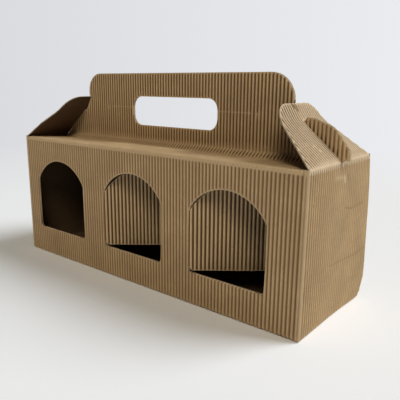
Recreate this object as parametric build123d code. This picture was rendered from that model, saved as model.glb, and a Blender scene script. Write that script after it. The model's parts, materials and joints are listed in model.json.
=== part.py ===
"""Jar shipping box: a carrying carton folded from single-face fluted card.

One sheet makes the four walls, the snap-lock bottom, the two roof leaves and the two plies of the
carrying handle, with its flutes outside. An end flap rises from the top of each side wall. Its slot
takes a fin at the foot of the handle, and its bent tip hooks under the handle's end. Two of the three
arched windows keep their cut-out piece as a flap that stands between two jars.

Frame: origin in the middle of the footprint, front wall towards -Y, +X to the right, +Z up.
Lengths are in millimetres and angles in degrees.
"""
import os
from math import atan2, cos, degrees, hypot, radians, sin, sqrt

from build123d import *

# Box
box_length = 265.0
box_width = 90.0
wall_height = 100.0

# Card
liner_thickness = 0.5
flute_rise = 1.0
flute_pitch = 2.7
crest_share = 0.5      # place of a flute's crest along its pitch
crushed_share = 0.3    # share of the rise that is left between two flutes and where a fold crushes them
crease_band = 3.0      # width that a fold crushes beside it
fold_radius = 1.2

# Windows
window_width = 58.0
window_pitch = 83.0
window_row_shift = -4.2
window_sill = 23.0
window_spring = 65.2
window_arch_rise = 16.7
window_corner_radius = 2.5

# Divider flaps, the cut-out pieces of the middle and right windows
divider_gap = 0.5
divider_rest_angle = 39.0

# Roof leaves and the sloping strip that carries the handle
leaf_end_gap = 2.5
strip_run = 4.75
strip_drop = 3.5
strip_top_rise = 0.8
strip_seat = 0.6       # how far the strip runs on into the ply

# Handle, measured up from the top of the walls
ply_gap = 0.1
handle_length = 198.4
handle_rise = 51.7
handle_corner_radius = 14.5
hand_hole_length = 83.4
hand_hole_height = 22.2
hand_hole_rise = 11.8
hand_hole_shift = -2.9
hand_hole_corner_radius = 8.0

# End flaps
flap_slope = 40.0
tip_slope = 60.0
flap_side_inset = 1.0
flap_shoulder_reach = 15.5
flap_shoulder_width = 72.0
flap_tip_width = 44.2
flap_tip_length = 11.6
shoulder_radius = 12.0
tip_corner_radius = 14.0
slot_length = 35.0
slot_clearance = 0.6
tip_fold_offset = 0.8
hinge_gap = 0.3

# Fins of the handle
fin_height = 10.0
fin_end_clearance = 0.4
fin_root_height = 2.6
fin_overhang = 3.7
fin_foot_drop = 0.3
fin_foot_rise = 2.4
fin_radius = 5.0
fin_shares = ((0.87, 0.56), (0.52, 1.02), (0.03, 0.72))
hook_clearance = 0.6
hook_lip_gap = 1.0
notch_depth = 2.0

# Snap-lock bottom
bottom_side_reach = 62.0
bottom_lap = 6.0
bottom_overlap = 24.0
bottom_side_taper = 12.0
bottom_recess_length = 96.0
bottom_recess_depth = 20.0
bottom_tongue_inset = 1.0
bottom_corner_radius = 3.0

# Every cut runs past the face it opens by this much
overrun = 5.0

# Worked out from the sizes above
board = liner_thickness + flute_rise
crushed_board = liner_thickness + flute_rise * crushed_share
crush_inset = board - crushed_board
half_length = box_length / 2
half_width = box_width / 2
inner_length = box_length - 2 * board
inner_width = box_width - 2 * board
ply_outer = ply_gap / 2 + board
slot_width = 2 * (ply_outer + slot_clearance)
strip_top = wall_height + strip_top_rise
strip_foot = strip_top - strip_drop
strip_foot_y = ply_outer + strip_run
leaf_length = inner_length - 2 * leaf_end_gap
tip_fold = slot_length + tip_fold_offset
window_centres = [window_row_shift + step * window_pitch for step in (-1, 0, 1)]


def fluted_line(run, band):
    """Points of a fluted face along a straight run that starts at zero: (place, depth below the crest).

    Whole flutes are centred on the run. A crushed band is left beside each end of it, or none for a band of 0.
    """
    count = int((run - 2 * band) / flute_pitch)
    start = (run - count * flute_pitch) / 2
    points = [(start, crush_inset)]
    for index in range(count):
        foot = start + index * flute_pitch
        points.append((foot + crest_share * flute_pitch, 0))
        points.append((foot + flute_pitch, crush_inset))
    return points


def fluted_board(width, height):
    """A flat fluted card, width along X and height along Z: liner on y = 0, crests towards -Y."""
    face_line = [(x - width / 2, depth - board) for x, depth in fluted_line(width, 0)]
    outline = [(-width / 2, 0), (-width / 2, crush_inset - board), *face_line]
    outline += [(width / 2, crush_inset - board), (width / 2, 0)]
    tidy = [point for point, after in zip(outline, outline[1:] + outline[:1]) if not same(point, after)]
    section = make_face(Polyline(*tidy, close=True))
    return extrude(section, amount=height)


def same(first, second):
    """True where two outline points lie on each other."""
    return hypot(first[0] - second[0], first[1] - second[1]) < fold_radius / 1000


def upright_plate(outline, radii, near, far):
    """The closed outline, given in X and Z with one radius for each corner, as a plate from y near to far."""
    line = FilletPolyline(*outline, radius=radii, close=True)
    face = Plane.XZ * make_face(line)
    return Pos(0, near, 0) * extrude(face, amount=near - far)


def box_between(low, high):
    """A block between two opposite corners."""
    size = [top - bottom for bottom, top in zip(low, high)]
    return Pos(*low) * Box(*size, align=(Align.MIN, Align.MIN, Align.MIN))


def on_flap(reach, height):
    """A point in an end flap's frame, as (distance in from the side wall's face, rise over the wall)."""
    slope = radians(flap_slope)
    inward = reach * cos(slope) - height * sin(slope)
    rise = reach * sin(slope) + height * cos(slope)
    return inward, rise


def window_cutter(centre, near, far, inset=0.0):
    """An arched plate in the front wall's frame: straight jambs under a segmental arch."""
    half = window_width / 2 - inset
    arch_radius = (window_width ** 2 / 4 + window_arch_rise ** 2) / (2 * window_arch_rise) - inset
    arch_centre = window_spring + window_arch_rise - arch_radius - inset
    spring = arch_centre + sqrt(arch_radius ** 2 - half ** 2)
    sill = window_sill + inset
    foot = FilletPolyline(
        (centre - half, spring), (centre - half, sill), (centre + half, sill), (centre + half, spring),
        radius=window_corner_radius,
    )
    arch = ThreePointArc(foot @ 1, (centre, arch_centre + arch_radius), foot @ 0)
    face = Plane.XZ * make_face([foot, arch])
    return Pos(0, near, 0) * extrude(face, amount=near - far)


def wall_rings():
    """The four walls: a fluted ring with its windows, between smooth crushed rings at the two folds."""
    front = [(x - half_length, depth - half_width) for x, depth in fluted_line(box_length, crease_band)]
    right = [(half_length - depth, y - half_width) for y, depth in fluted_line(box_width, crease_band)]
    half_ring = [(crush_inset - half_length, crush_inset - half_width), *front]
    half_ring += [(half_length - crush_inset, crush_inset - half_width), *right]
    ring = half_ring + [(-x, -y) for x, y in half_ring]
    fluted = make_face(Polyline(*ring, close=True))
    corner_x = half_length - crease_band
    corner_y = half_width - crease_band
    corners = [v for v in fluted.vertices() if abs(v.X) > corner_x and abs(v.Y) > corner_y]
    fluted = fillet(corners, fold_radius)
    smooth = RectangleRounded(box_length - 2 * crush_inset, box_width - 2 * crush_inset, fold_radius)
    hollow = Rectangle(inner_length, inner_width)
    band = extrude(smooth - hollow, amount=crease_band)
    middle = Pos(0, 0, crease_band) * extrude(fluted - hollow, amount=wall_height - 2 * crease_band)
    near = -half_width - overrun
    far = -inner_width / 2 + overrun
    middle -= [window_cutter(centre, near, far) for centre in window_centres]
    notch = Box(box_length + 2 * overrun, slot_width, 2 * notch_depth)
    top_band = Pos(0, 0, wall_height - crease_band) * band - Pos(0, 0, wall_height) * notch
    return [band, middle, top_band]


def bottom_panels():
    """The snap-lock bottom, from outside in: the recessed rear flap, the front flap, the side flaps."""
    edge_x = inner_length / 2 + liner_thickness
    edge_y = inner_width / 2 + liner_thickness
    rear_free = edge_y - inner_width / 2 - bottom_overlap / 2
    recess = bottom_recess_length / 2
    taper = bottom_side_taper
    rear = [
        (-edge_x, edge_y), (-edge_x + taper, rear_free), (-recess, rear_free),
        (-recess, rear_free + bottom_recess_depth), (recess, rear_free + bottom_recess_depth),
        (recess, rear_free), (edge_x - taper, rear_free), (edge_x, edge_y),
    ]
    radius = bottom_corner_radius
    rear_radii = [0, 0, radius, radius, radius, radius, 0, 0]
    tongue = recess - bottom_tongue_inset
    front_free = rear_free + bottom_lap
    front = [
        (-edge_x, -edge_y), (edge_x, -edge_y), (edge_x - taper, front_free), (tongue, front_free),
        (tongue, rear_free + bottom_overlap), (-tongue, rear_free + bottom_overlap),
        (-tongue, front_free), (-edge_x + taper, front_free),
    ]
    front_radii = [0, 0, 0, radius, radius, radius, radius, 0]
    side_end = edge_x - bottom_side_reach
    side = [(edge_x, -edge_y), (edge_x, edge_y), (side_end, edge_y - taper), (side_end, -edge_y + taper)]
    side_radii = [0, 0, 0, 0]
    layers = [(rear, rear_radii), (front, front_radii), (side, side_radii)]
    panels = []
    for level, (corners, radii) in enumerate(layers):
        panel = make_face(FilletPolyline(*corners, radius=radii, close=True))
        panels.append(Pos(0, 0, level * crushed_board) * extrude(panel, amount=crushed_board))
    return [*panels, mirror(panels[-1], about=Plane.YZ)]


def handle_outline():
    """Corners and corner radii of one handle ply, clockwise from the top left, in X and Z."""
    right = []
    tip_face = on_flap(tip_fold, 0)
    tip = radians(tip_slope)
    tip_end = (tip_face[0] + flap_tip_length * cos(tip), tip_face[1] + flap_tip_length * sin(tip))
    under = board + hook_clearance
    hook_top = (tip_end[0] + under * sin(tip), tip_end[1] - under * cos(tip))
    hook_foot = (tip_face[0] + under * sin(tip), tip_face[1] - under * cos(tip))
    lip = tip_end[1] + hook_lip_gap
    handle_end = half_length - handle_length / 2
    right.append((handle_end, handle_rise, handle_corner_radius))
    right.append((handle_end, lip, 0))
    right.append((hook_top[0], lip, 0))
    right.append((*hook_top, 0))
    right.append((*hook_foot, 0))
    fin_end = slot_length - fin_end_clearance
    right.append((*on_flap(fin_end - fin_end_clearance, -under), 0))
    right.append((*on_flap(fin_end, fin_root_height), fin_end_clearance))
    for reach_share, height_share in fin_shares:
        right.append((*on_flap(reach_share * slot_length, height_share * fin_height), fin_radius))
    right.append((-fin_overhang, fin_foot_rise, fin_foot_drop))
    right.append((hook_clearance - fin_overhang, -fin_foot_drop, fin_foot_drop))
    corners = [((half_length - inward, wall_height + rise), radius) for inward, rise, radius in right]
    mirrored = [((-x, z), radius) for (x, z), radius in reversed(corners)]
    return corners + mirrored


def handle_ply():
    """The front ply of the handle: a fluted card cut to the handle's outline, with its hand hole."""
    corners = handle_outline()
    long_side = box_length + 2 * fin_overhang
    card_foot = wall_height - fin_foot_drop
    card = Pos(0, -ply_gap / 2, card_foot) * fluted_board(long_side, handle_rise + fin_foot_drop)
    outline = [point for point, radius in corners]
    plate = upright_plate(outline, [radius for point, radius in corners], -ply_outer - overrun, overrun)
    hole = Pos(hand_hole_shift, 0, wall_height + hand_hole_rise + hand_hole_height / 2) * (
        Plane.XZ * RectangleRounded(hand_hole_length, hand_hole_height, hand_hole_corner_radius)
    )
    return (card & plate) - extrude(hole, amount=overrun + ply_outer, both=True)


def handle_strip():
    """The fluted strip that slopes from the front ply's foot down to the roof leaf."""
    strip_length = hypot(strip_run, strip_drop)
    flutes = fluted_board(box_length + 2 * fin_overhang, strip_length + strip_seat)
    flutes &= Box(leaf_length, 4 * board, 4 * strip_length)
    lean = degrees(atan2(strip_run, strip_drop))
    return Pos(0, -ply_outer, strip_top) * Rot(-lean, 0, 0) * Pos(0, board, -strip_length) * flutes


def roof_leaf():
    """The front roof leaf: crushed card from the top fold of the front wall to the strip's foot."""
    strip_length = hypot(strip_run, strip_drop)
    across = strip_drop / strip_length
    down = strip_run / strip_length
    profile = [
        (crush_inset - half_width, wall_height),
        (crush_inset * across - strip_foot_y, strip_foot - crush_inset * down),
        (board * across - strip_foot_y, strip_foot - board * down),
        (-inner_width / 2, wall_height - crushed_board),
        (crush_inset - half_width, wall_height - crushed_board),
    ]
    face = Plane.YZ * make_face(Polyline(*profile, close=True))
    return extrude(face, amount=leaf_length / 2, both=True)


def carton():
    """The folded sheet: walls, bottom, roof leaves and handle."""
    front_top = [roof_leaf(), handle_strip(), handle_ply()]
    rear_top = [mirror(piece, about=Plane.XZ) for piece in front_top]
    first, *others = wall_rings()
    return first + [*others, *bottom_panels(), *front_top, *rear_top]


def flap_outline():
    """Corners and radii of the end flap laid flat: across the box, and out from its fold."""
    base = half_width - flap_side_inset
    half = [
        (base, 0, 0),
        (flap_shoulder_width / 2, flap_shoulder_reach, shoulder_radius),
        (flap_tip_width / 2, tip_fold + flap_tip_length, tip_corner_radius),
    ]
    corners = [((across, reach), radius) for across, reach, radius in half]
    return corners + [((-across, reach), radius) for (across, reach), radius in reversed(corners)]


def right_end_flap():
    """The right end flap: a fluted card with its slot, its foot cut level and its tip bent up."""
    corners = flap_outline()
    shape = upright_plate([p for p, r in corners], [r for p, r in corners], -2 * board, board)
    card = fluted_board(box_width, tip_fold + flap_tip_length) & shape
    slot = box_between((-slot_width / 2, -2 * board, -overrun), (slot_width / 2, board, slot_length))
    half_bend = radians(tip_slope - flap_slope) / 2
    fold_point = (0, -board, tip_fold)
    lower_end = Plane(origin=fold_point, z_dir=(0, -sin(half_bend), cos(half_bend)))
    tip_end = Plane(origin=fold_point, z_dir=(0, sin(half_bend), cos(half_bend)))
    lower = split(card - slot, bisect_by=lower_end, keep=Keep.BOTTOM)
    tip = split(card, bisect_by=tip_end, keep=Keep.TOP)
    flat = lower + tip.rotate(Axis(fold_point, (1, 0, 0)), tip_slope - flap_slope)
    leaning = Pos(half_length, 0, wall_height) * Rot(0, flap_slope - 90, 0) * Rot(0, 0, 90) * Pos(0, board, 0) * flat
    foot_room = Pos(0, 0, wall_height + hinge_gap) * Box(
        2 * box_length, 2 * box_width, wall_height, align=(Align.CENTER, Align.CENTER, Align.MIN)
    )
    return leaning & foot_room


def divider_flap(centre):
    """A window's cut-out piece, turned inwards about the window's left jamb."""
    shape = window_cutter(centre, -half_width - overrun, overrun - inner_width / 2, inset=divider_gap)
    card_height = window_spring + window_arch_rise
    card = Pos(centre, -inner_width / 2, 0) * fluted_board(window_width, card_height)
    flat = card & shape
    hinge = Axis((centre - window_width / 2, -inner_width / 2, 0), (0, 0, 1))
    return flat.rotate(hinge, divider_rest_angle)


def main():
    os.makedirs("parts", exist_ok=True)
    end_flap = right_end_flap()
    nodes = {
        "carton": carton(),
        "right_end_flap": end_flap,
        "left_end_flap": mirror(end_flap, about=Plane.YZ),
        "middle_divider_flap": divider_flap(window_centres[1]),
        "right_divider_flap": divider_flap(window_centres[2]),
    }
    for name, shape in nodes.items():
        export_step(shape, f"parts/{name}.step")


main()
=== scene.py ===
import json
from math import cos, pi, radians, sin, tan

import bpy
import numpy as np
from mathutils import Matrix, Vector
from mathutils.kdtree import KDTree


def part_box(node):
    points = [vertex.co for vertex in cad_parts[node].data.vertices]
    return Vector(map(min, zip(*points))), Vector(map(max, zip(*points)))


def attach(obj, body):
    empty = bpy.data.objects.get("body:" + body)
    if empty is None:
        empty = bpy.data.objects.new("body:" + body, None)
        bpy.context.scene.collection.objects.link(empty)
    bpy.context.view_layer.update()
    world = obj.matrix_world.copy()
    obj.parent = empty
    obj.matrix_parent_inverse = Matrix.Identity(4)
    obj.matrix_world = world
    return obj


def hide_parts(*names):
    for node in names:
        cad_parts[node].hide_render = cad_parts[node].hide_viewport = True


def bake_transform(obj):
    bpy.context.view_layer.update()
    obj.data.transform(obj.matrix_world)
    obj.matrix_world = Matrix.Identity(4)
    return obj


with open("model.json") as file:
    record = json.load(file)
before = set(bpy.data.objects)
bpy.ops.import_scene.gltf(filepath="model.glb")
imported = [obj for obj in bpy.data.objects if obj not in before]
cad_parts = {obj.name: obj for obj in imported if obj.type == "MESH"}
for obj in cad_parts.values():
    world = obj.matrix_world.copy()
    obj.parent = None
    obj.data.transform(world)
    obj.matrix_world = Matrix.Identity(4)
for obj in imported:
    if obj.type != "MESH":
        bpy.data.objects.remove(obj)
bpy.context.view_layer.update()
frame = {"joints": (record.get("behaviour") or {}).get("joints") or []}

mm = 0.001

# Box, from the frame
hinge_at = {joint["name"]: joint["pos_m"] for joint in frame["joints"]}
half_length, _, wall_height = hinge_at["right_end_flap_fold"]
carton_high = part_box("carton")[1]
half_width = carton_high.y
handle_rise = carton_high.z - wall_height
fin_overhang = carton_high.x - half_length
divider_hinges = [hinge_at["middle_divider_fold"], hinge_at["right_divider_fold"]]
board = half_width + divider_hinges[0][1]

# Card
flute_pitch = 2.7 * mm
paper = 0.2 * mm                 # thickness of the fluted paper
liner = 0.35 * mm
flute_depth = board - liner - paper
pressed_share = 0.45             # how deep a fold presses the fluted paper
cut_share = 0.9                  # and how deep a cut does
uneven_share = 0.12              # how far single crests fall short
uneven_waves = [                 # by these waves: their lengths across and along the sheet, and their shift
    (7.1 * mm, 160.0 * mm, 0.0), (11.3 * mm, -210.0 * mm, 1.0), (53.0 * mm, 90.0 * mm, 2.0),
]
samples_seen = 8                 # places across one flute
samples_behind = 6
liner_step = 4                   # the liner has every fourth place
liner_whole = 3.0 * mm           # but all places this near to an edge that runs along the flutes
cut_band = 1.3 * mm              # width that the cutting die presses beside an edge
cut_press_share = 0.85
sharp_angle = radians(58.0)      # edges that turn more than this stay sharp
outline_steps = 400              # places taken along a rounded outline
tiny = 1e-9                      # keeps such places in order where an outline turns back

# Folds
corner_radius = 1.6 * mm
bottom_radius = 1.8 * mm
top_radius = 2.0 * mm
flap_radius = 2.0 * mm
fold_foot = 3.0 * mm             # height that leaves and end flaps take from the walls under their fold
corner_steps = 6
corner_press = (0.5 * mm, 2.2 * mm)      # a fold presses up to the first distance, and less up to the second
top_press = (1.5 * mm, 4.2 * mm)
top_press_share = 0.9
bottom_press = (0.5 * mm, 2.6 * mm)
bottom_press_share = 0.55
bottom_calm = 2.5 * bottom_radius        # height from which the rows of places are level
side_rub_share = 0.3             # how far handling has flattened the side walls at their back
side_rub_band = (5.0 * mm, 45.0 * mm)    # from the front, where that sets in and where it is full

# Windows
window_width = 58.0 * mm
window_sill = 23.0 * mm
window_spring = 65.2 * mm
window_arch_rise = 16.7 * mm
window_corner_radius = 2.5 * mm
row_apart = 0.3 * mm             # least distance between two rows of places
far_off = 10 * half_length       # further away than any place on a wall

# Dividers
divider_angle = radians(39.0)
divider_gap = 0.5 * mm
head_gap = 0.25 * mm
divider_phase = 0.75 * mm        # where in a flute the dividers are folded
divider_slack = 0.1 * mm         # by which their fold is rounder than the card is thick
divider_cut_share = 0.5

# Leaves, strip and handle, as distances in from the wall's face and up from its top
leaf_half = 128.5 * mm
strip_foot = (38.7 * mm, -2.7 * mm)
strip_top = (43.45 * mm, 0.8 * mm)
strip_foot_radius = 0.9 * mm
ply_radius = 1.2 * mm
leaf_press_share = 0.6
leaf_press_band = 4.0 * mm       # over which that sets in behind the top fold and ends before the strip
top_press_reach = 2.0 * mm       # how far past the top fold the leaf is pressed by it
strip_press_shares = (0.5, 0.45) # by the folds at the strip's foot and at its top
strip_press_reach = 1.2 * mm
handle_ends = (99.2 * mm, 98.0 * mm)            # of both plies, to the left and right
handle_corner_radii = (14.5 * mm, 17.5 * mm)
hole_half = 41.7 * mm
hole_shift = -2.9 * mm
hole_low = 11.8 * mm
hole_high = 34.0 * mm
hole_corner_radius = 8.0 * mm
hook_half = 97.46 * mm           # the handle's hook is cut in to here
hook_lip = 33.15 * mm
fin_line = [                     # from under the flap's tip out over the fin
    (35.04 * mm, 32.0 * mm), (29.2 * mm, 22.0 * mm), (27.9 * mm, 20.7 * mm), (25.2 * mm, 24.5 * mm),
    (19.7 * mm, 23.9 * mm), (7.4 * mm, 19.5 * mm), (-fin_overhang, 6.2 * mm), (-fin_overhang, 0.5 * mm),
]
fin_radii = np.array([0.3, 0.3, 0.4, 2.5, 9.0, 5.0]) * mm
fin_root = 0.85 * mm             # how far the fins reach down inside the walls
fin_rub_share = 0.3              # how far the slots have flattened what stands out of them
fin_rub_band = 3.0 * mm
handle_crease = 25.4 * mm
crease_half = 0.7 * mm
crease_press_share = 0.4
crease_worn_share = 1.5          # worn against pressed, as is the next
cut_worn_share = 0.3

# End flaps
flap_slope = radians(40.0)
tip_slope = radians(60.0)
tip_fold = 35.8 * mm
tip_length = 11.6 * mm
tip_fold_radius = 28.0 * mm
flap_shoulders = {"right": (36.0 * mm, 15.5 * mm), "left": (37.8 * mm, 18.0 * mm)}
shoulder_radius = 12.0 * mm
flap_tip_half = 22.1 * mm        # where the flap's sides would meet its tip's end without their rounding
tip_corner_radii = {"right": 14.0 * mm, "left": 20.0 * mm}
slot_half = 1.9 * mm
slot_length = 35.0 * mm
notch_depth = 1.4 * mm
flap_press_share = 0.8           # how far their fold presses them, and over what distance
flap_press_reach = 1.7 * mm
flap_cut_share = 0.85
flap_rub_share = 0.3             # how far handling has flattened their half behind the slot
flap_rub_across = (-12.0 * mm, 8.0 * mm)
flap_rub_along = 6.0 * mm
flap_worn_shares = (0.55, 0.7)   # worn against pressed, at the fold and at a cut

# Bottom
panel_board = 0.8 * mm
bottom_edge_x = 131.5 * mm
bottom_edge_y = 44.0 * mm
bottom_taper = 12.0 * mm
rear_free_y = -11.5 * mm
rear_recess_y = 8.5 * mm
recess_half = 48.0 * mm
front_free_y = -5.5 * mm
tongue_y = 12.5 * mm
tongue_half = 48.5 * mm
side_reach = 62.0 * mm
bottom_press_all_share = 0.4     # its panels are pressed all over by what stands on them

# Wear of the rear right corner: the wall bows out above it, and its foot is knocked in
bow_out = 2.6 * mm
bow_heights = np.array([0.0, 5.0, 12.0, 27.0, 45.0, 75.0, 100.0]) * mm
bow_shares = np.array([0.55, 0.85, 0.95, 1.0, 0.8, 0.6, 0.0])
bow_reach = 25.0 * mm            # along the box from the corner
bow_start = -5.0 * mm            # and across it, from where the bow sets in
knock = np.array([-2.4, -3.2, 1.6]) * mm
knock_reach = 8.0 * mm

# Scars, in millimetres: two ends, half width, strength, and True for a pale stroke or False for a dark one.
# The pale strokes are scuffs and the painted highlight of a dent's lit facet; the dark ones are painted
# shade in creases and cracks.
wall_scars_and_painted_shade = [
    ((-2.2, 97.4), (-1.8, 95.4), 1.4, 1.0, False),
    ((-8.0, 90.8), (3.8, 89.8), 2.2, 0.32, True),
    ((3.8, 90.0), (4.9, 87.4), 2.0, 0.6, True),
    ((8.4, 91.0), (9.4, 87.0), 1.8, 0.3, False),
    ((8.0, 70.0), (17.0, 68.2), 0.9, 0.35, False),
    ((17.0, 68.2), (32.0, 69.4), 0.9, 0.35, False),
    ((-9.4, 36.6), (24.6, 35.3), 0.9, 0.28, False),
    ((24.6, 35.3), (41.0, 37.0), 0.9, 0.35, False),
]
flap_scars_and_painted_shade = [
    ((-2.6, 0.8), (-2.2, -3.0), 1.4, 1.0, False),
    ((-16.6, 15.4), (-14.2, 10.8), 1.0, 0.9, True),
    ((-2.5, 47.2), (-2.7, 42.0), 1.0, 1.0, False),
    ((-5.9, 47.2), (-5.3, 43.6), 1.0, 1.0, False),
]
# Colours of those strokes: scuff with painted highlight, and painted shade in a crease or crack.
scuff_and_painted_highlight = (0.72, 0.57, 0.38, 1)
crease_painted_shade = (0.17, 0.105, 0.05, 1)

# Kraft papers: tone, tone where worn, how much of the fibres and of the painted shade in the flute valleys
# is seen, and how far the tone is kept in that painted valley shade. Noise has a stretch over the sheet, a
# scale and a detail. A range is where an effect sets in and where it is full.
edge_tone = (0.56, 0.43, 0.27)
# Lighter tones for the end flaps, which face the light: painted light.
lit_flap_painted_tone = (0.67, 0.515, 0.345)
lit_flap_painted_worn_tone = (0.72, 0.56, 0.385)
papers = {
    # The liner is painted far darker than its paper, as painted shade inside the box and under the flaps.
    "kraft_liner": ((0.105, 0.063, 0.032), (0.113, 0.071, 0.036), 0.4, 0.0, 1.0),
    "kraft_cut_edge": (edge_tone, edge_tone, 0.3, 0.0, 1.0),
    "fluted_kraft": ((0.53, 0.375, 0.21), (0.53, 0.39, 0.235), 0.5, 0.9, 1.0),
    # The top, divider and flap copies of the one card carry painted light: lighter crests and deeper painted
    # shade in the valleys, as the light falls on each piece.
    "fluted_kraft_top": ((0.56, 0.39, 0.215), (0.56, 0.4, 0.235), 0.5, 1.2, 0.75),
    "fluted_kraft_inside": ((0.64, 0.455, 0.26), (0.6, 0.44, 0.26), 0.5, 1.25, 0.5),
    "fluted_kraft_scuffed": (lit_flap_painted_tone, lit_flap_painted_worn_tone, 0.5, 1.25, 0.5),
    "fluted_kraft_flap": (lit_flap_painted_tone, lit_flap_painted_worn_tone, 0.5, 1.25, 0.5),
}
pale_tone_share = 1.12
deep_tone_share = 0.86
fibre_tone_share = 0.72
fleck_tone_share = 0.45
valley_shade_tone_shares = (0.30, 0.22, 0.14)
cloud_noise = ((1, 1, 1), 45.0, 3.0)
cloud_range = (0.3, 0.7)
fibre_noise = ((1, 0.25, 1), 2200.0, 3.0)
fibre_range = (0.35, 0.7)
fleck_noise = ((1, 0.6, 1), 900.0, 1.0)
fleck_range = (0.7, 0.76)
fleck_share = 0.45
noise_roughness = 0.6
valley_shade_range = (0.25, 0.95)
worn_range = (0.35, 1.0)
worn_share = 0.55
kraft_roughness = 0.86
kraft_sheen = 0.2
felt_strength = 0.35
felt_depth = 0.1 * mm

# Camera, solved from the box's corners in the picture
view_turn = radians(38.666)      # how far it stands round to the right
view_tilt = radians(13.316)
view_roll = radians(-0.554)
view_place = Vector((244.1, -275.8, 143.1)) * mm
focal_pixels = 485.71
picture_pixels = 400
sensor_width = 36.0
backdrop_half = 0.38             # half of the picture's width over its distance

# Stage, with colours from the left to the right of the picture
background = [(0.70, 0.71, 0.74), (0.83, 0.84, 0.87)]
floor_tones = [(0.94, 0.95, 0.97), (0.99, 0.99, 1.0)]
floor_tone_half = 0.3
floor_half = 6.0
floor_fade = (0.35, 0.9)         # distances over which it runs out into the background
floor_roughness = 0.9
floor_sheen = 0.1
fill_colour = (1.0, 0.95, 0.88)
fill_strength = 0.05
lamps = [                        # name, direction, strength, spread in degrees, colour
    ("rear_right_lamp", (0.50, 0.45, 0.74), 2.4, 35, (0.9, 0.945, 1.0)),
    ("overhead_lamp", (0.48, -0.64, 0.86), 1.22, 26, (1.0, 0.925, 0.77)),
]


def smooth(low, high, value):
    """Rises from 0 at low to 1 at high, level at both ends."""
    share = np.clip((value - low) / (high - low), 0, 1)
    return share * share * (3 - 2 * share)


def fading(low, high, value):
    """Falls from 1 at low to 0 at high, level at both ends."""
    return 1 - smooth(low, high, value)


def bell(middle, reach, value):
    """Full at its middle and fading to both sides of it."""
    return np.exp(-((value - middle) / reach) ** 2)


def places_across(start, end, marks=(), samples=samples_seen):
    """Places across a sheet: even ones in each flute, and one at each mark where an edge runs along."""
    step = flute_pitch / samples
    regular = np.arange(np.ceil(start / step), np.floor(end / step) + 1) * step
    marks = np.array([start, end, *marks])
    clear = np.abs(regular[:, None] - marks).min(axis=1) > step / 3
    return np.unique(np.concatenate([regular[clear], marks]))


def rows_along(levels, counts):
    """Places along a sheet, row after row: each stretch between two level lines is divided evenly."""
    levels = np.broadcast_arrays(*levels)
    rows = [levels[0]]
    for low, high, count in zip(levels, levels[1:], counts):
        rows += [low + (high - low) * step / count for step in range(1, count + 1)]
    return np.array(rows)


def middles(values):
    """The values half way between neighbours."""
    return (values[1:] + values[:-1]) / 2


class Fold:
    """A line of straight runs joined by arcs, as points and headings for each length along it."""

    def __init__(self, corners, radii):
        runs = np.diff(np.array(corners, float), axis=0)
        headings = np.unwrap(np.arctan2(runs[:, 1], runs[:, 0]))
        turns = np.diff(headings)
        cuts = np.array(radii) * np.tan(np.abs(turns) / 2)
        straight = np.hypot(*runs.T)
        straight[:-1] -= cuts
        straight[1:] -= cuts
        lengths = np.zeros(2 * len(straight) - 1)
        lengths[0::2] = straight
        lengths[1::2] = np.array(radii) * np.abs(turns)
        self.bend = np.zeros_like(lengths)
        self.bend[1::2] = turns / lengths[1::2]
        self.stations = np.concatenate([[0], np.cumsum(lengths)])
        self.heading = np.repeat(headings, 2)[:len(lengths)]
        self.start = np.zeros((len(lengths), 2))
        self.start[0] = corners[0]
        for piece in range(len(lengths) - 1):
            self.start[piece + 1] = self.step(piece, lengths[piece])[0]

    def step(self, piece, length):
        """The point and heading at a length into one piece of the line."""
        bend = self.bend[piece]
        first = self.heading[piece]
        turned = first + bend * length
        curved = np.abs(bend) > 0
        safe = np.where(curved, bend, 1)
        x = np.where(curved, (np.sin(turned) - np.sin(first)) / safe, length * np.cos(first))
        y = np.where(curved, (np.cos(first) - np.cos(turned)) / safe, length * np.sin(first))
        return self.start[piece] + np.stack([x, y], axis=-1), turned

    def at(self, length):
        """Points and headings for an array of lengths along the line."""
        piece = np.searchsorted(self.stations, length, side="right") - 1
        piece = np.clip(piece, 0, len(self.bend) - 1)
        return self.step(piece, length - self.stations[piece])

    def rightward(self, length, depth):
        """Points at a depth to the right of the line."""
        point, heading = self.at(length)
        return point + depth[..., None] * np.stack([np.sin(heading), -np.cos(heading)], axis=-1)


def shell_faces(kept, ring):
    """Quads of a closed shell over the kept cells, and for each: 0 for outside, 1 for inside, 2 for a rim.

    Points are numbered row by row over the outer grid, and then over the inner one.
    """
    rows, columns = kept.shape[0] + 1, kept.shape[1] + (0 if ring else 1)
    index = np.arange(rows * columns).reshape(rows, columns)
    if ring:
        index = np.hstack([index, index[:, :1]])
    inner = index + rows * columns
    a, b, c, d = index[:-1, :-1], index[:-1, 1:], index[1:, 1:], index[1:, :-1]
    e, f, g, h = inner[:-1, :-1], inner[:-1, 1:], inner[1:, 1:], inner[1:, :-1]
    above = np.vstack([kept[1:], np.zeros_like(kept[:1])])
    below = np.vstack([np.zeros_like(kept[:1]), kept[:-1]])
    edge = kept[:, -1:] if ring else np.zeros_like(kept[:, :1])
    left = np.hstack([edge, kept[:, :-1]])
    edge = kept[:, :1] if ring else np.zeros_like(kept[:, :1])
    right = np.hstack([kept[:, 1:], edge])
    groups = [
        ((a, b, c, d), kept, 0), ((h, g, f, e), kept, 1),
        ((b, a, e, f), kept & ~below, 2), ((d, c, g, h), kept & ~above, 2),
        ((a, d, h, e), kept & ~left, 2), ((c, b, f, g), kept & ~right, 2),
    ]
    quads = [np.stack(corners, axis=-1)[where] for corners, where, _ in groups]
    kinds = [np.full(len(faces), kind) for faces, (_, _, kind) in zip(quads, groups)]
    return np.vstack(quads), np.concatenate(kinds)


def combined(*presses):
    """Several pressings of the same card: what is left of its flutes is what each of them leaves."""
    left = 1.0
    for press in presses:
        left = left * (1 - press)
    return 1 - left


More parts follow.
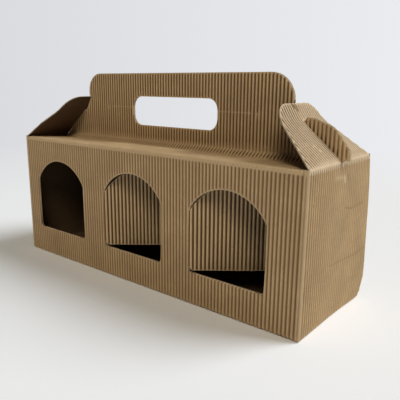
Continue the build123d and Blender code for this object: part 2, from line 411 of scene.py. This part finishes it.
def cut_distance(across, along, kept, folded_rows):
    """Distance of each place from the nearest edge of the kept cells, without those in the first rows."""
    cells = np.pad(kept, 1)
    around = np.stack([cells[:-1, :-1], cells[:-1, 1:], cells[1:, :-1], cells[1:, 1:]])
    edge = around.any(axis=0) & ~around.all(axis=0)
    edge[:folded_rows] = False
    spots = np.stack([np.broadcast_to(across, along.shape), along, 0 * along], axis=-1)
    tree = KDTree(int(edge.sum()))
    for number, spot in enumerate(spots[edge]):
        tree.insert(spot, number)
    tree.balance()
    return np.array([tree.find(spot)[2] for spot in spots.reshape(-1, 3)]).reshape(along.shape)


class Sheet:
    """The grid of one piece of card: places across (one for each column) and along (one for each point).

    phase is the place of each column in the row of flutes, kept tells which cells are card, press is how far
    the flutes are pressed flat at each point, cut how much of that a cutting edge did, and worn how far the
    paper is rubbed pale there. marks are the places across where an edge runs along.
    """

    def __init__(self, across, along, kept, press, marks, worn=None, phase=None, ring=False, cut=0.0):
        self.across = across
        self.along = along
        self.kept = kept
        self.press = press
        self.cut = cut
        self.worn = press if worn is None else worn
        self.phase = across if phase is None else phase
        self.ring = ring
        near = np.abs(across[:, None] - np.array(marks)).min(axis=1) < liner_whole
        self.liner_columns = np.flatnonzero(near | (np.arange(len(across)) % liner_step == 0))

    def cells(self, columns):
        """The kept cells between a choice of columns."""
        return self.kept[:, columns if self.ring else columns[:-1]]


def unevenness(across, along):
    """A slow drift from 0 to 1 over a sheet, by which single crests fall short: crossed sine waves."""
    waves = [np.sin(2 * pi * (across / wide + along / far) + shift) for wide, far, shift in uneven_waves]
    return 0.5 + sum(waves) / (2 * len(waves))


def card(name, sheet, place, looks, depth_share=1.0):
    """A piece of single-face card. place(across, along, depth) puts the grid in space.

    The fluted paper is a closed shell whose outer face is a wave, evened out where the card is pressed.
    The liner is another closed shell behind it.
    """
    along = sheet.along
    phase = np.broadcast_to(sheet.phase, along.shape)
    wave = (1 - np.cos(2 * pi * phase / flute_pitch)) / 2
    short = uneven_share * unevenness(phase, along)
    fluted = wave + (1 - wave) * short
    pressed = pressed_share + (cut_share - pressed_share) * sheet.cut
    depth = flute_depth * (fluted * (1 - sheet.press) + pressed * sheet.press)
    # How deep each place lies in its flute: the materials paint shade into the valleys by it.
    valley = wave * (1 - sheet.press)
    points, quads, kinds, fields = [], [], [], []
    count = 0
    every = np.arange(along.shape[1])
    flat = np.full(along.shape, board - liner)
    layers = [
        (every, depth, paper, valley, (0, 1, 2)),
        (sheet.liner_columns, flat, liner, 0 * flat, (1, 1, 2)),
    ]
    for columns, outer, thickness, shade, kind_slots in layers:
        across = np.broadcast_to(sheet.across[columns], (len(along), len(columns)))
        rows, near, shade = along[:, columns], outer[:, columns], shade[:, columns]
        faces, kind = shell_faces(sheet.cells(columns), sheet.ring)
        for face_depth, dark in ((near, shade), (near + thickness, 0 * shade)):
            points.append(place(across, rows, face_depth * depth_share).reshape(-1, 3))
            field = [phase[:, columns], rows, 0 * rows + thickness, dark, sheet.worn[:, columns]]
            fields.append(np.stack(field, axis=-1).reshape(-1, len(field)))
        quads.append(faces + count)
        kinds.append(np.array(kind_slots)[kind])
        count += 2 * rows.size
    slots = np.concatenate(kinds)
    return add_mesh(name, np.vstack(points), np.vstack(quads), slots, np.vstack(fields), looks)


def add_object(name, data):
    """A new object in the scene."""
    made = bpy.data.objects.new(name, data)
    bpy.context.scene.collection.objects.link(made)
    return made


def add_mesh(name, points, quads, slots, fields, looks):
    """A mesh object from points and quads, without the points that no quad uses."""
    used, quads = np.unique(quads, return_inverse=True)
    quads = quads.reshape(-1, 4)
    mesh = bpy.data.meshes.new(name)
    mesh.from_pydata(points[used].tolist(), [], quads.tolist())
    for look in looks:
        mesh.materials.append(look)
    mesh.polygons.foreach_set("material_index", slots.astype(np.int32))
    mesh.polygons.foreach_set("use_smooth", np.ones(len(quads), bool))
    kept = fields[used].astype(np.float32)
    spot = mesh.attributes.new("sheet_place", "FLOAT_VECTOR", "POINT")
    spot.data.foreach_set("vector", kept[:, :3].ravel())
    # How deep a place lies in its flute, for the painted valley shade, and how worn it is.
    for column, label in ((3, "valley"), (4, "crease")):
        field = mesh.attributes.new(label, "FLOAT", "POINT")
        field.data.foreach_set("value", kept[:, column])
    mesh.set_sharp_from_angle(angle=sharp_angle)
    mesh.update()
    return add_object(name, mesh)


def worn(points):
    """The wear of the rear right corner: a bow outwards by height, and a knock that fades with distance."""
    x, y, z = np.moveaxis(points, -1, 0)
    reach = smooth(half_length - bow_reach, half_length, x) * smooth(bow_start, half_width, y)
    moved = points.copy()
    moved[..., 0] += bow_out * np.interp(z, bow_heights, bow_shares) * reach
    away = np.sqrt((x - half_length) ** 2 + (y - half_width) ** 2 + z ** 2)
    return moved + knock * fading(0, knock_reach, away)[..., None]


# Windows

arch_radius = (window_width ** 2 / 4 + window_arch_rise ** 2) / (2 * window_arch_rise)
arch_centre = window_spring + window_arch_rise - arch_radius
window_pitch = divider_hinges[1][0] - divider_hinges[0][0]
window_centres = [divider_hinges[0][0] + window_width / 2 + step * window_pitch for step in (-1, 0, 1)]


def sill_line(side, inset=0.0):
    """Height of a window's lower edge at a distance from its middle line: level, then a quarter circle."""
    radius = window_corner_radius - inset
    flat = window_width / 2 - window_corner_radius
    over = np.clip(side - flat, 0, radius)
    return window_sill + window_corner_radius - np.sqrt(radius ** 2 - over ** 2)


def arch_line(side, inset=0.0):
    """Height of a window's upper edge at a distance from its middle line: an arc, level past its ends."""
    reach = np.minimum(side, window_width / 2 - inset)
    return arch_centre + np.sqrt((arch_radius - inset) ** 2 - reach ** 2)


def window_distance(side, height):
    """Distance outside a window's outline: the larger of those from its rounded box and from its arch."""
    flat = window_width / 2 - window_corner_radius
    over_x = side - flat
    over_z = window_sill + window_corner_radius - height
    outside = np.hypot(np.maximum(over_x, 0), np.maximum(over_z, 0))
    box = outside + np.minimum(np.maximum(over_x, over_z), 0) - window_corner_radius
    arch = np.hypot(side, height - arch_centre) - arch_radius
    return np.maximum(box, arch)


# Walls

front_wall = 2                   # counted from the first half of the rear wall
right_wall = 3
wall_apart = 200 * flute_pitch   # each wall has its own stretch of the row of flutes
wall_line = Fold(
    [(0, half_width), (-half_length, half_width), (-half_length, -half_width),
     (half_length, -half_width), (half_length, half_width), (0, half_width)],
    [corner_radius] * 4,
)
bottom_arc = bottom_radius * pi / 2
bottom_bend = bottom_arc - bottom_radius  # by which a place along the card is more than its height


def window_side(wall, across):
    """Distance from the middle line of the nearest window, far off on the walls that have none."""
    sides = [np.abs(across - centre) for centre in window_centres]
    return np.where(wall == front_wall, np.min(sides, axis=0), far_off)


def wall_sheet():
    """The ring of four walls, from the middle of the rear wall round to it again, seen from outside."""
    stations = wall_line.stations
    folds = middles(stations)[1::2]
    centres = np.array([0, *middles(stations)[2:7:2], stations[-1]])
    jambs = [c + side * (window_width / 2 + band) for c in window_centres
             for side in (-1, 1) for band in (0, cut_band)]
    ends = [-leaf_half, leaf_half]
    marks = [ends, [], [*jambs, *ends], [], ends]
    samples = [samples_behind, samples_behind, samples_seen, samples_seen, samples_behind]
    columns = []
    every_mark = []
    for wall, centre in enumerate(centres):
        low, high = stations[2 * wall] - centre, stations[2 * wall + 1] - centre
        inside = [mark for mark in marks[wall] if low < mark < high]
        columns.append(centre + places_across(low, high, inside, samples[wall]))
        every_mark += [centre + mark for mark in (low, high, *inside)]
    for corner in range(4):
        arc = np.linspace(stations[2 * corner + 1], stations[2 * corner + 2], corner_steps + 1)
        columns.append(arc[1:-1])
        every_mark.append(arc[corner_steps // 2])
    length = np.sort(np.concatenate(columns))[:-1]

    def local(place):
        wall = np.searchsorted(folds, place)
        return wall, place - centres[wall]

    wall, across = local(length)
    after = np.append(length[1:], stations[-1])
    cell_wall, cell_across = local((length + after) / 2)

    side = window_side(wall, across)
    foot = window_sill + window_corner_radius
    sill = np.where(side < window_width / 2, sill_line(side), foot)
    under = np.where(side < window_width / 2 + cut_band, sill_line(side, -cut_band), foot - row_apart)
    under = np.minimum(under, sill - row_apart)
    arch = arch_line(side)
    over = arch_line(side, -cut_band)
    heights = [
        bottom_radius, bottom_calm, under, sill, arch, over,
        wall_height - top_press[1], wall_height - fold_foot, wall_height,
    ]
    counts = [3, 1, 2, 1, 3, 1, 2, 2, 1]
    along = rows_along([0, *[height + bottom_bend for height in heights]], counts)
    height = along - bottom_bend

    blocks = np.ones((len(counts), len(length)), bool)
    # The fifth stretch has the windows. In the last one, leaves and end flaps take over from the walls.
    blocks[4] = window_side(cell_wall, cell_across) > window_width / 2
    long_wall = cell_wall % 2 == 0
    flap_half = half_width - corner_radius
    blocks[-1] = np.abs(cell_across) > np.where(long_wall, leaf_half, flap_half)
    kept = np.repeat(blocks, counts, axis=0)

    to_fold = np.abs(length[:, None] - folds).min(axis=1)
    corner = fading(*corner_press, to_fold)
    top = top_press_share * fading(*top_press, wall_height - height)
    bottom = bottom_press_share * fading(*bottom_press, height)
    window = cut_press_share * fading(0, cut_band, window_distance(side, height))
    hinges = np.array([hinge[0] for hinge in divider_hinges])
    at_hinge = (wall == front_wall) & (np.abs(across[:, None] - hinges).min(axis=1) < 2 * cut_band)
    window = np.where(at_hinge & (height > foot) & (height < window_spring), 0, window)
    from_front = half_width + np.where(wall == right_wall, across, -across)
    rubbed = np.where(wall % 2 == 1, side_rub_share * smooth(*side_rub_band, from_front), 0)
    press = combined(corner, top, bottom, window, rubbed)
    phase = across + wall * wall_apart
    rubbed_pale = combined(corner, top, window)
    return Sheet(length, along, kept, press, every_mark, rubbed_pale, phase=phase, ring=True, cut=window)


def on_walls(length, along, depth):
    """Points of the walls: round the box by the length, up by the height, turned in at the bottom fold."""
    turned = np.clip(1 - along / bottom_arc, 0, 1) * pi / 2
    inset = bottom_radius * (1 - np.cos(turned)) + depth * np.cos(turned)
    risen = np.maximum(along - bottom_arc, 0)
    height = bottom_radius * (1 - np.sin(turned)) + risen + depth * np.sin(turned)
    plan = wall_line.rightward(length, -inset)
    return worn(np.concatenate([plan, height[..., None]], axis=-1))


# Leaves, strip and handle

top_line = Fold(
    [(0, wall_height - fold_foot), (0, wall_height), (strip_foot[0], wall_height + strip_foot[1]),
     (strip_top[0], wall_height + strip_top[1]), (strip_top[0], wall_height + handle_rise)],
    [top_radius, strip_foot_radius, ply_radius],
)
fin_outline = Fold(fin_line, fin_radii)


def fin_height(inward):
    """Height of the fin's and hook's edge over the wall's top, by the distance in from the wall's face."""
    stations = np.linspace(0, fin_outline.stations[-1], outline_steps)
    points = fin_outline.at(stations)[0][::-1]
    rising = np.maximum.accumulate(points[:, 0] + tiny * np.arange(len(points)))
    return np.interp(inward, rising, points[:, 1])


def top_sheet(turn):
    """Roof leaf, strip and handle ply in one run along the flutes, turned half round where turn is -1."""
    shift = turn * hole_shift
    fin_half = half_length + fin_overhang
    marks = [side * place for side in (-1, 1) for place in (leaf_half, half_length, hook_half)]
    marks += [-turn * handle_ends[0], turn * handle_ends[1], shift - hole_half, shift + hole_half]
    across = places_across(-fin_half, fin_half, marks)
    end = np.abs(across)
    # The line's start, both ends of each of its three folds, and its end
    stations = top_line.stations

    def ply(rise):
        return stations[-1] - handle_rise + rise

    hole_side = np.abs(across - shift)
    flat = hole_half - hole_corner_radius
    over = np.clip(hole_side - flat, 0, hole_corner_radius)
    round_off = hole_corner_radius - np.sqrt(hole_corner_radius ** 2 - over ** 2)
    hole_end = np.where(across > shift, hook_half - shift, hook_half + shift)
    share = np.clip((hole_side - hole_half) / (hole_end - hole_half), 0, 1)
    hook_edge = fin_height(half_length - end)
    hook_inner = fin_height(half_length - hook_half)
    low = (hole_low + round_off) * (1 - share) + hook_inner * share
    low = np.where(end >= hook_half, hook_edge, low)
    high = (hole_high - round_off) * (1 - share) + hook_lip * share
    half = np.where(turn * across > 0, handle_ends[1], handle_ends[0])
    radius = np.where(turn * across > 0, handle_corner_radii[1], handle_corner_radii[0])
    over_top = np.clip(end - half + radius, 0, radius)
    top = handle_rise - radius + np.sqrt(radius ** 2 - over_top ** 2)

    levels = [*stations[:7]]
    levels[5] = np.where((end > leaf_half) & (end <= half_length), stations[5] - fin_root, stations[5])
    low = np.maximum(ply(low), stations[6] + 2 * row_apart)
    under = np.maximum(low - cut_band, stations[6] + row_apart)
    crease = ply(handle_crease)
    creased = [
        np.maximum(crease + step * crease_half, low + (step + 2) * row_apart / 4) for step in (-1, 0, 1)
    ]
    levels += [under, low, *creased, ply(high), ply(high) + cut_band, ply(top) - cut_band, ply(top)]
    counts = [1, 5, 3, 3, 2, 3, 4, 1, 2, 1, 1, 2, 1, 3, 1]
    blocks = np.ones((len(counts), len(across) - 1), bool)
    middle = middles(across)
    ends = np.abs(middle)
    blocks[:5] &= ends < leaf_half
    blocks[8:12] = (ends < hook_half) & (np.abs(middle - shift) > hole_half)
    blocks[12:] = ends < middles(half)
    along = rows_along(levels, counts)
    kept = np.repeat(blocks, counts, axis=0)
    over_fold = along - stations[1]
    folds = middles(stations)
    top_fold = top_press_share * fading(stations[1], stations[2] + top_press_reach, along)
    leaf = leaf_press_share * fading(stations[3] - leaf_press_band, stations[4], along)
    leaf = leaf * smooth(0, leaf_press_band, over_fold)
    foot = strip_press_shares[0] * bell(folds[3], strip_press_reach, along)
    neck = strip_press_shares[1] * bell(folds[5], strip_press_reach, along)
    cut = cut_press_share * fading(0, cut_band, cut_distance(across, along, kept, 2))
    line = crease_press_share * fading(0, crease_half, np.abs(along - crease))
    over_flap = along - ply(0) - (half_length - end) * tan(flap_slope)
    fin = fin_rub_share * smooth(0, fin_rub_band, over_flap) * (end > hook_half)
    press = combined(top_fold, leaf, foot, neck, cut, line, fin)
    rubbed = combined(top_fold, cut_worn_share * cut, crease_worn_share * line)
    return Sheet(across, along, kept, press, [-fin_half, fin_half, *marks], rubbed, cut=cut)


def on_top(turn):
    """Places the front leaf and ply, or with turn of -1 the rear ones, turned half round."""
    ply_start = wall_height + handle_rise - top_line.stations[-1]

    def place(across, along, depth):
        inner = top_line.rightward(along, depth)
        past = (np.abs(across) > leaf_half) & (along < top_line.stations[6])
        ply = np.stack([strip_top[0] + depth, ply_start + along], axis=-1)
        inner = np.where(past[..., None], ply, inner)
        return np.stack([turn * across, turn * (inner[..., 0] - half_width), inner[..., 1]], axis=-1)
    return place


# End flaps

flap_line = Fold(
    [(0, wall_height - fold_foot), (0, wall_height),
     (tip_fold * cos(flap_slope), wall_height + tip_fold * sin(flap_slope)),
     (tip_fold * cos(flap_slope) + tip_length * cos(tip_slope),
      wall_height + tip_fold * sin(flap_slope) + tip_length * sin(tip_slope))],
    [flap_radius, tip_fold_radius],
)


def flap_sheet(shoulder, tip_corner_radius):
    """An end flap from under its fold to its tip, with the slot for the fin."""
    base = half_width - corner_radius
    end_reach = tip_fold + tip_length
    corners = [(base, 0), shoulder, (flap_tip_half, end_reach), (0, end_reach)]
    outline = Fold(corners, [shoulder_radius, tip_corner_radius])
    marks = [-slot_half, slot_half]
    across = places_across(-base, base, marks)
    end = np.abs(across)
    stations = flap_line.stations
    hinge = middles(stations)[1]
    sides, reaches = outline.at(np.linspace(0, outline.stations[-1], outline_steps))[0].T
    edge = hinge + np.interp(end, sides[::-1], reaches[::-1])
    notch = stations[2] - notch_depth
    tip_start = np.maximum(stations[3], hinge + slot_length + row_apart)
    folds = [0, notch, stations[2], hinge + slot_length, tip_start, stations[4]]
    levels = [np.minimum(fold, edge - 2 * row_apart + fold * row_apart / base) for fold in folds]
    band = 2 * cut_band
    levels += [np.maximum(edge - band, levels[-1] + row_apart / 2), edge]
    counts = [1, 5, 8, 1, 3, 2, 2]
    blocks = np.ones((len(counts), len(across) - 1), bool)
    blocks[1:3] = np.abs(middles(across)) > slot_half
    along = rows_along(levels, counts)
    kept = np.repeat(blocks, counts, axis=0)
    fold = flap_press_share * bell(hinge, flap_press_reach, along)
    cut = flap_cut_share * fading(0, cut_band, cut_distance(across, along, kept, 1))
    rub = flap_rub_share * smooth(*flap_rub_across, across) * smooth(hinge, hinge + flap_rub_along, along)
    press = combined(fold, cut, rub)
    rubbed = combined(flap_worn_shares[0] * fold, flap_worn_shares[1] * cut)
    return Sheet(across, along, kept, press, [-base, base, *marks], rubbed, cut=cut)


def on_flap(turn):
    """Places the right end flap, or with turn of -1 the left one, turned half round."""
    def place(across, along, depth):
        inner = flap_line.rightward(along, depth)
        return np.stack([turn * (half_length - inner[..., 0]), turn * across, inner[..., 1]], axis=-1)
    return place


# Dividers

divider_radius = board + divider_slack
divider_start = divider_radius * tan(divider_angle / 2)
divider_reach = window_width - divider_gap
divider_line = Fold(
    [(0, -board), (divider_start, -board),
     (divider_start + divider_reach * cos(divider_angle), divider_reach * sin(divider_angle) - board)],
    [divider_radius],
)


def divider_sheet():
    """A window's cut-out piece, from its fold at the window's left jamb to its free edge."""
    arc = divider_line.stations[2]
    across = places_across(0, arc + divider_reach, [arc])
    side = np.abs(np.maximum(across - arc, divider_gap) - window_width / 2)
    foot = sill_line(np.minimum(side, window_width / 2 - divider_gap), divider_gap) + divider_gap / 2
    head = arch_line(side, head_gap)
    along = rows_along([foot, foot + cut_band, head - cut_band, head], [1, 6, 1])
    kept = np.ones((len(along) - 1, len(across) - 1), bool)
    edge = np.minimum(along - foot, head - along)
    cut = divider_cut_share * fading(0, cut_band, edge)
    phase = across + divider_phase
    return Sheet(across, along, kept, cut, [0, arc, arc + divider_reach], cut, phase=phase, cut=cut)


def on_divider(hinge):
    """Places a divider at its hinge: round the fold and away from the wall by the distance across."""
    def place(across, along, depth):
        plan = divider_line.rightward(across, -depth) + np.array(hinge[:2])
        return np.concatenate([plan, along[..., None]], axis=-1)
    return place


# Bottom

def bottom_sheet(across_end, marks, levels, blocks, counts):
    """One bottom panel: a flat sheet between level lines, as functions of the distance from its middle."""
    across = places_across(-across_end, across_end, marks, samples_behind)
    end = np.abs(across)
    along = rows_along([line(end) for line in levels], counts)
    ends = np.abs(middles(across))
    kept = np.repeat(np.array([block(ends) for block in blocks]), counts, axis=0)
    press = np.full(along.shape, bottom_press_all_share)
    return Sheet(across, along, kept, press, [-across_end, across_end, *marks])


def bottom_place(layer, lengthwise, turn=1):
    """Places a panel in its layer over the floor, with its flutes along the box or across it."""
    def place(across, along, depth):
        x, y = (along, across) if lengthwise else (across, -along)
        height = layer * panel_board + depth
        return worn(np.stack([turn * x, turn * y, height], axis=-1))
    return place


def bottom_pieces(looks):
    """The four panels of the snap-lock bottom, from outside in."""
    end_x = half_length - bottom_radius - row_apart
    end_y = half_width - bottom_radius - row_apart
    corner_x = bottom_edge_x - bottom_taper

    def slant(end, free):
        share = np.clip((end - corner_x) / bottom_taper, 0, 1)
        return free + (bottom_edge_y - free) * share

    def everywhere(end):
        return end >= 0

    rear = bottom_sheet(
        end_x, [-recess_half, recess_half, -corner_x, corner_x],
        [lambda end: -end_y,
         lambda end: -np.maximum(rear_recess_y, slant(end, rear_free_y) + row_apart),
         lambda end: -slant(end, rear_free_y)],
        [everywhere, lambda end: end > recess_half], [2, 2],
    )
    front = bottom_sheet(
        end_x, [-tongue_half, tongue_half, -corner_x, corner_x],
        [lambda end: -tongue_y,
         lambda end: slant(end, -front_free_y),
         lambda end: end_y],
        [lambda end: end < tongue_half, everywhere], [2, 2],
    )
    side_end = bottom_edge_x - side_reach
    narrow = bottom_edge_y - bottom_taper
    side = bottom_sheet(
        end_y, [-narrow, narrow],
        [lambda end: side_end + side_reach * np.clip((end - narrow) / bottom_taper, 0, 1),
         lambda end: end_x],
        [everywhere], [3],
    )
    share = panel_board / board
    panels = [
        ("rear", rear, bottom_place(0, False)), ("front", front, bottom_place(1, False)),
        ("right", side, bottom_place(2, True)), ("left", side, bottom_place(2, True, -1)),
    ]
    return [card(f"bottom_{name}_flap", sheet, place, looks, share) for name, sheet, place in panels]


# Materials

def feed(tree, value, socket):
    """Gives an input its value: another node's output, or a fixed value."""
    if isinstance(value, bpy.types.NodeSocket):
        tree.links.new(value, socket)
    else:
        socket.default_value = value


def add_node(tree, kind, *values, **settings):
    """A node with its properties, its first inputs and its named inputs set."""
    node = tree.nodes.new(kind)
    for name, value in settings.items():
        if name in node.inputs:
            feed(tree, value, node.inputs[name])
        else:
            setattr(node, name, value)
    for socket, value in zip(node.inputs, values):
        feed(tree, value, socket)
    return node


def new_look(name, roughness, sheen):
    """A plain material, with its node tree and its shader."""
    look = bpy.data.materials.new(name)
    look.use_nodes = True
    shader = look.node_tree.nodes["Principled BSDF"]
    shader.inputs["Roughness"].default_value = roughness
    shader.inputs["Specular IOR Level"].default_value = sheen
    return look, look.node_tree, shader


def colour_mix(tree, share, *colours):
    """A colour between two others. The node takes colours from its input 6 on and gives one as output 2."""
    node = add_node(tree, "ShaderNodeMix", share, data_type="RGBA")
    for socket, colour in zip(node.inputs[6:], colours):
        feed(tree, colour, socket)
    return node.outputs[2]


def shader_mix(tree, share, first, second, output):
    """Shows the first shader and, by its share, the second one in its place."""
    mix = add_node(tree, "ShaderNodeMixShader", share, first.outputs[0], second.outputs[0])
    tree.links.new(mix.outputs[0], output)


def spread_values(tree, *values):
    """Maps a value from one range to another, 0 to 1 where none is given, and holds the ends."""
    return add_node(tree, "ShaderNodeMapRange", *values).outputs[0]


def vector_step(tree, operation, *vectors, **settings):
    """A step of arithmetic with vectors, whose result is a vector or a number."""
    node = add_node(tree, "ShaderNodeVectorMath", *vectors, operation=operation, **settings)
    return node.outputs["Value" if operation in ("DOT_PRODUCT", "DISTANCE", "LENGTH") else "Vector"]


def sheet_noise(tree, place, stretch, scale, detail):
    """Noise over the sheet's own places, stretched along it."""
    stretched = add_node(tree, "ShaderNodeMapping", Vector=place, Scale=stretch).outputs[0]
    noise = add_node(tree, "ShaderNodeTexNoise", Scale=scale, Detail=detail, Roughness=noise_roughness)
    tree.links.new(stretched, noise.inputs["Vector"])
    return noise.outputs[0]


def stroke_share(tree, place, start, end, half_width, strength):
    """A stroke on the sheet: its strength on the line between two places, fading out over its half width."""
    first = Vector((*start, paper))
    run = Vector((*end, paper)) - first
    from_first = vector_step(tree, "SUBTRACT", place, first)
    share = vector_step(tree, "DOT_PRODUCT", from_first, run / run.length_squared)
    nearest = vector_step(tree, "SCALE", run, Scale=spread_values(tree, share))
    away = vector_step(tree, "DISTANCE", from_first, nearest)
    return spread_values(tree, away, 0, half_width, strength, 0)


def toned(tone, shares):
    """A tone times one share or a share for each of its parts, as a colour."""
    return (*[min(1.0, part) for part in np.array(tone) * shares], 1)


def kraft(name, strokes=()):
    """Kraft paper: cloudy tone, fibres, flecks, painted shade in the flute valleys, paler worn creases,
    strokes of scars with painted shade and highlight, and a felted surface.
    """
    tone, worn_tone, grain, valley_shade_share, valley_shade_tone_kept = papers[name]
    look, tree, shader = new_look(name, kraft_roughness, kraft_sheen)
    place, valley, crease = [
        add_node(tree, "ShaderNodeAttribute", attribute_name=name).outputs[kind]
        for name, kind in (("sheet_place", "Vector"), ("valley", "Fac"), ("crease", "Fac"))
    ]
    cloud = spread_values(tree, sheet_noise(tree, place, *cloud_noise), *cloud_range)
    colour = colour_mix(tree, cloud, toned(tone, deep_tone_share), toned(tone, pale_tone_share))
    fibre = sheet_noise(tree, place, *fibre_noise)
    fleck = sheet_noise(tree, place, *fleck_noise)
    valley_shade_tone = toned(tone, np.array(valley_shade_tone_shares) * valley_shade_tone_kept)
    layers = [
        (fibre, fibre_range, grain, toned(tone, fibre_tone_share)),
        (fleck, fleck_range, fleck_share, toned(tone, fleck_tone_share)),
        # Painted shade: darker colour in the flute valleys.
        (valley, valley_shade_range, valley_shade_share, valley_shade_tone),
        (crease, worn_range, worn_share, (*worn_tone, 1)),
    ]
    for value, seen_range, strength, layer_tone in layers:
        seen = spread_values(tree, value, *seen_range, 0, strength)
        colour = colour_mix(tree, seen, colour, layer_tone)
    # Scars: pale strokes of scuffs and painted highlight, dark strokes of painted shade in creases and
    # cracks.
    for start, end, half_width, strength, pale in strokes:
        seen = stroke_share(tree, place, start, end, half_width, strength)
        colour = colour_mix(tree, seen, colour, scuff_and_painted_highlight if pale else crease_painted_shade)
    tree.links.new(colour, shader.inputs["Base Color"])
    bump = add_node(tree, "ShaderNodeBump", Strength=felt_strength, Distance=felt_depth, Height=fibre)
    tree.links.new(bump.outputs[0], shader.inputs["Normal"])
    return look


def strokes_on(scars, across, along):
    """Scars, with their painted shade and highlight, as strokes in a sheet's own places, which run on from
    the given ones.
    """
    strokes = []
    for *ends, half_width, strength, pale in scars:
        start, end = [(place[0] * mm + across, place[1] * mm + along) for place in ends]
        strokes.append((start, end, half_width * mm, strength, pale))
    return strokes


# Stage, lamps and camera

def side_gradient(tree, place, half, colours):
    """A colour that brightens to the right, where the light comes from."""
    along = vector_step(tree, "DOT_PRODUCT", place, (cos(view_turn), sin(view_turn), 0))
    return colour_mix(tree, spread_values(tree, along, -half, half), *[(*colour, 1) for colour in colours])


def stage_floor():
    """A wide pale floor that shows the shadow near the box and runs out into the background."""
    mesh = bpy.data.meshes.new("floor")
    corners = [(-1, -1, 0), (1, -1, 0), (1, 1, 0), (-1, 1, 0)]
    mesh.from_pydata([[floor_half * side for side in corner] for corner in corners], [], [(0, 1, 2, 3)])
    look, tree, shader = new_look("pale_floor", floor_roughness, floor_sheen)
    place = add_node(tree, "ShaderNodeTexCoord").outputs["Object"]
    tree.links.new(side_gradient(tree, place, floor_tone_half, floor_tones), shader.inputs["Base Color"])
    far = spread_values(tree, vector_step(tree, "LENGTH", place), *floor_fade)
    camera_sees = add_node(tree, "ShaderNodeLightPath").outputs["Is Camera Ray"]
    seen = add_node(tree, "ShaderNodeMath", far, camera_sees, operation="MULTIPLY").outputs[0]
    towards = vector_step(tree, "NORMALIZE", vector_step(tree, "SUBTRACT", place, view_place))
    glow = add_node(tree, "ShaderNodeEmission", side_gradient(tree, towards, backdrop_half, background))
    shader_mix(tree, seen, shader, glow, tree.nodes["Material Output"].inputs["Surface"])
    mesh.materials.append(look)
    add_object("floor", mesh)


def world_light():
    """A pale background for the camera, and a weak even light for everything else."""
    world = bpy.data.worlds.new("studio")
    bpy.context.scene.world = world
    world.use_nodes = True
    tree = world.node_tree
    towards = add_node(tree, "ShaderNodeTexCoord").outputs["Generated"]
    seen = tree.nodes["Background"]
    tree.links.new(side_gradient(tree, towards, backdrop_half, background), seen.inputs["Color"])
    light = add_node(tree, "ShaderNodeBackground", (*fill_colour, 1), fill_strength)
    camera_sees = add_node(tree, "ShaderNodeLightPath").outputs["Is Camera Ray"]
    shader_mix(tree, camera_sees, light, seen, tree.nodes["World Output"].inputs["Surface"])


def soft_sun(name, towards, strength, spread, colour):
    """A lamp far away, whose light comes from a direction and from all round it by its spread."""
    lamp = bpy.data.lights.new(name, "SUN")
    lamp.energy = strength
    lamp.angle = radians(spread)
    lamp.color = colour
    direction = np.array(towards) / np.linalg.norm(towards)
    add_object(name, lamp).rotation_euler = Vector(direction).to_track_quat("Z", "Y").to_euler()


def photo_camera():
    """The photograph's camera."""
    data = bpy.data.cameras.new("camera")
    data.sensor_fit = "HORIZONTAL"
    data.sensor_width = sensor_width
    data.lens = focal_pixels / picture_pixels * sensor_width
    ahead = Vector((-sin(view_turn) * cos(view_tilt), cos(view_turn) * cos(view_tilt), -sin(view_tilt)))
    right = ahead.cross(Vector((0, 0, 1))).normalized()
    down = ahead.cross(right)
    across = right * cos(view_roll) + down * sin(view_roll)
    downward = -right * sin(view_roll) + down * cos(view_roll)
    axes = Matrix((across, -downward, -ahead)).transposed().to_4x4()
    axes.translation = view_place
    camera = add_object("camera", data)
    camera.matrix_world = axes
    bpy.context.scene.camera = camera


# Pieces

wall_strokes = strokes_on(wall_scars_and_painted_shade, right_wall * wall_apart, bottom_bend)
flap_strokes = strokes_on(flap_scars_and_painted_shade, 0, middles(flap_line.stations)[1])
behind = [kraft("kraft_liner"), kraft("kraft_cut_edge")]
looks = [kraft("fluted_kraft", wall_strokes), *behind]
top_looks = [kraft("fluted_kraft_top"), *behind]
divider_looks = [kraft("fluted_kraft_inside"), *behind]
flap_looks = {
    "right": [kraft("fluted_kraft_scuffed", flap_strokes), *behind],
    "left": [kraft("fluted_kraft_flap"), *behind],
}

box_pieces = [card("walls", wall_sheet(), on_walls, looks), *bottom_pieces(looks)]
for side, turn in (("front", 1), ("rear", -1)):
    box_pieces.append(card(f"{side}_leaf_and_handle_ply", top_sheet(turn), on_top(turn), top_looks))
for piece in box_pieces:
    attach(piece, "box")
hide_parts("carton")

for side, turn in (("right", 1), ("left", -1)):
    sheet = flap_sheet(flap_shoulders[side], tip_corner_radii[side])
    piece = card(f"{side}_flap", sheet, on_flap(turn), flap_looks[side])
    hinge = Vector(hinge_at[f"{side}_end_flap_fold"])
    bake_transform(piece)
    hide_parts(f"{side}_end_flap")

divider = divider_sheet()
for side, hinge in zip(("middle", "right"), divider_hinges):
    piece = card(f"{side}_divider", divider, on_divider(hinge), divider_looks)
    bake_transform(piece)
    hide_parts(f"{side}_divider_flap")

stage_floor()
world_light()
for lamp in lamps:
    soft_sun(*lamp)
photo_camera()
bpy.context.scene.view_settings.view_transform = "Standard"
